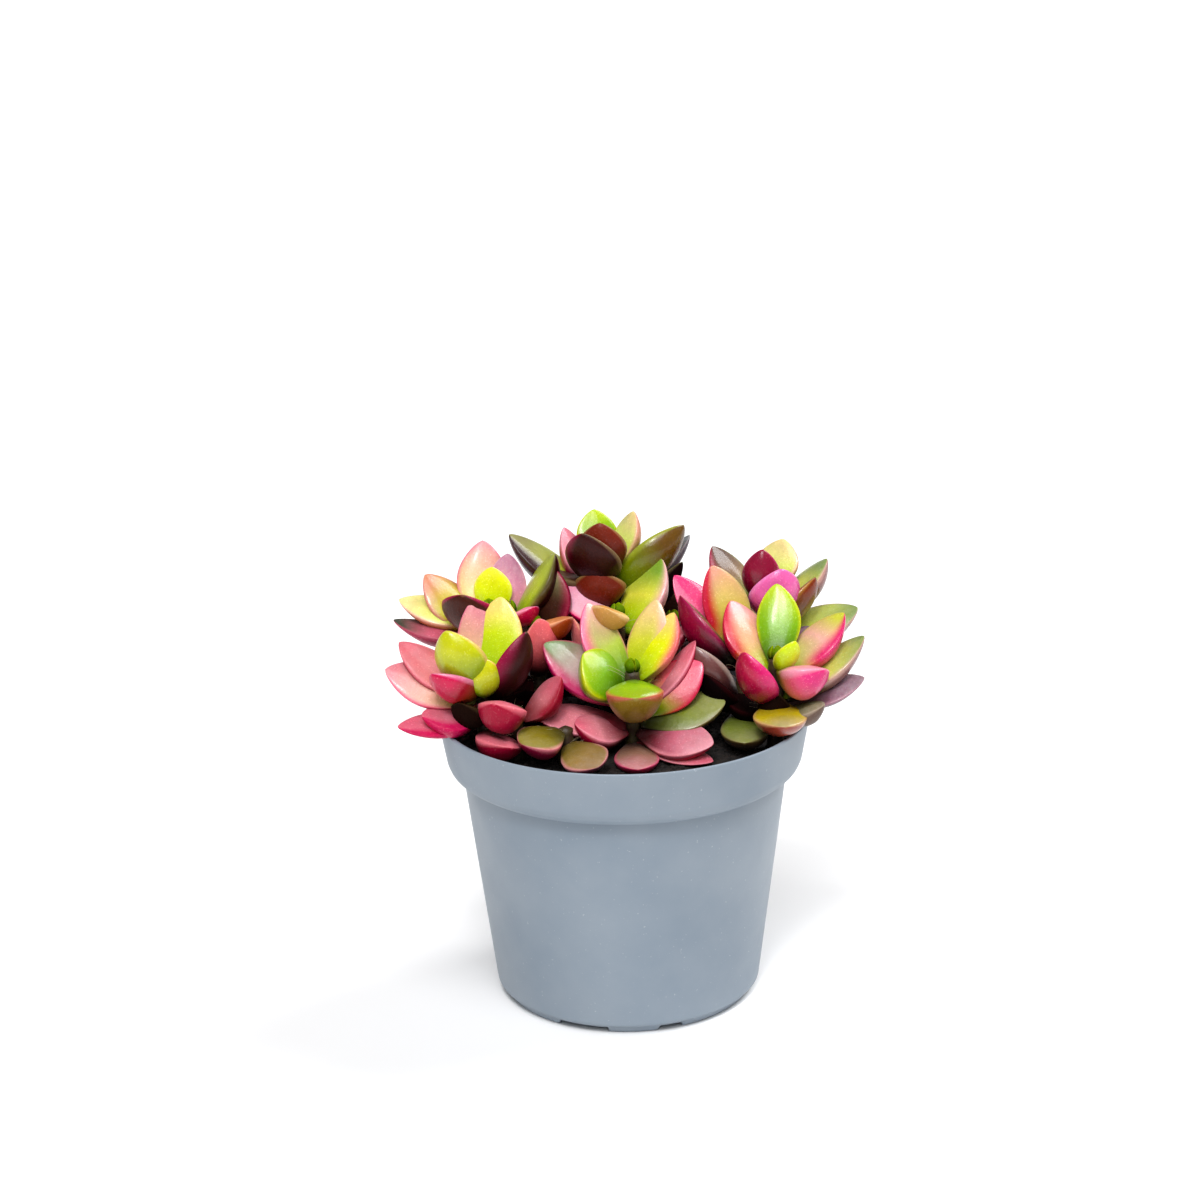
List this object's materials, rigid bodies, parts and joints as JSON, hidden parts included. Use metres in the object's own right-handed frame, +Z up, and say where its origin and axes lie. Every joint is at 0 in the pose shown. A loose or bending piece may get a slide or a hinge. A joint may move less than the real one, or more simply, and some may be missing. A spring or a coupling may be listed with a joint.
{
  "type": "potted anacampseros plant",
  "caption": "Potted succulent: rosettes of short pointed fleshy leaves, lime to pink and maroon, crowding over the rim of a plain round tapered plastic grower's pot filled with dark soil.",
  "frame": {"origin": "on the floor, on the pot's axis", "axes": "+Z up along the pot's axis; the plant is widest along X; -Y is the front, where the low front leaves lie over the soil"},
  "size_m": [0.1076, 0.085, 0.1086],
  "materials": {
    "pot_plastic": "satin blue-grey injection-moulded plastic",
    "soil_dark": "loose dark peat and bark mix",
    "stem_olive": "fleshy green-brown stem with its closely set inner leaves",
    "leaf_cream": "pale cream leaf skin",
    "leaf_pale_pink": "pale pink leaf skin with a green base",
    "leaf_rose": "rose-red leaf skin",
    "leaf_magenta": "deep magenta leaf skin",
    "leaf_maroon": "dark maroon leaf skin",
    "leaf_grey_green": "grey-green leaf skin with a soft bloom",
    "leaf_dusky": "dusky grey-purple leaf skin"
  },
  "bodies": {
    "root": {"pot": "pot_plastic", "soil": "soil_dark", "front_left_stem": "stem_olive", "front_left_leaf_1": "leaf_maroon", "front_left_leaf_2": "leaf_magenta", "front_left_leaf_3": "leaf_pale_pink", "front_left_leaf_4": "leaf_rose", "front_left_leaf_5": "leaf_rose", "front_left_leaf_6": "leaf_rose", "front_left_leaf_7": "leaf_pale_pink", "front_left_leaf_8": "leaf_rose", "back_left_stem": "stem_olive", "back_left_leaf_1": "leaf_cream", "back_left_leaf_2": "leaf_cream", "back_left_leaf_3": "leaf_rose", "back_left_leaf_4": "leaf_pale_pink", "back_left_leaf_5": "leaf_grey_green", "back_centre_stem": "stem_olive", "back_centre_leaf_1": "leaf_maroon", "back_centre_leaf_2": "leaf_maroon", "back_centre_leaf_3": "leaf_maroon", "back_centre_leaf_4": "leaf_dusky", "back_centre_leaf_5": "leaf_maroon", "back_centre_leaf_6": "leaf_grey_green", "back_centre_leaf_7": "leaf_pale_pink", "middle_stem": "stem_olive", "middle_leaf_1": "leaf_rose", "middle_leaf_2": "leaf_rose", "front_centre_stem": "stem_olive", "front_centre_leaf_1": "leaf_grey_green", "front_centre_leaf_2": "leaf_rose", "front_centre_leaf_3": "leaf_rose", "front_centre_leaf_4": "leaf_rose", "front_centre_leaf_5": "leaf_pale_pink", "front_centre_leaf_6": "leaf_grey_green", "front_centre_leaf_7": "leaf_dusky", "front_centre_leaf_8": "leaf_rose", "front_right_stem": "stem_olive", "front_right_leaf_1": "leaf_magenta", "front_right_leaf_2": "leaf_rose", "front_right_leaf_3": "leaf_grey_green", "front_right_leaf_4": "leaf_dusky", "front_right_leaf_5": "leaf_grey_green", "back_right_stem": "stem_olive", "back_right_leaf_1": "leaf_pale_pink", "back_right_leaf_2": "leaf_grey_green", "back_right_leaf_3": "leaf_grey_green", "back_right_leaf_4": "leaf_maroon", "back_right_leaf_5": "leaf_pale_pink", "back_right_leaf_6": "leaf_grey_green", "left_middle_stem": "stem_olive", "centre_left_stem": "stem_olive", "right_middle_stem": "stem_olive", "right_middle_leaf_1": "leaf_grey_green", "low_left_stem": "stem_olive", "low_front_stem": "stem_olive", "low_back_left_stem": "stem_olive", "low_back_middle_stem": "stem_olive", "low_back_right_stem": "stem_olive"}
  },
  "joints": []
}
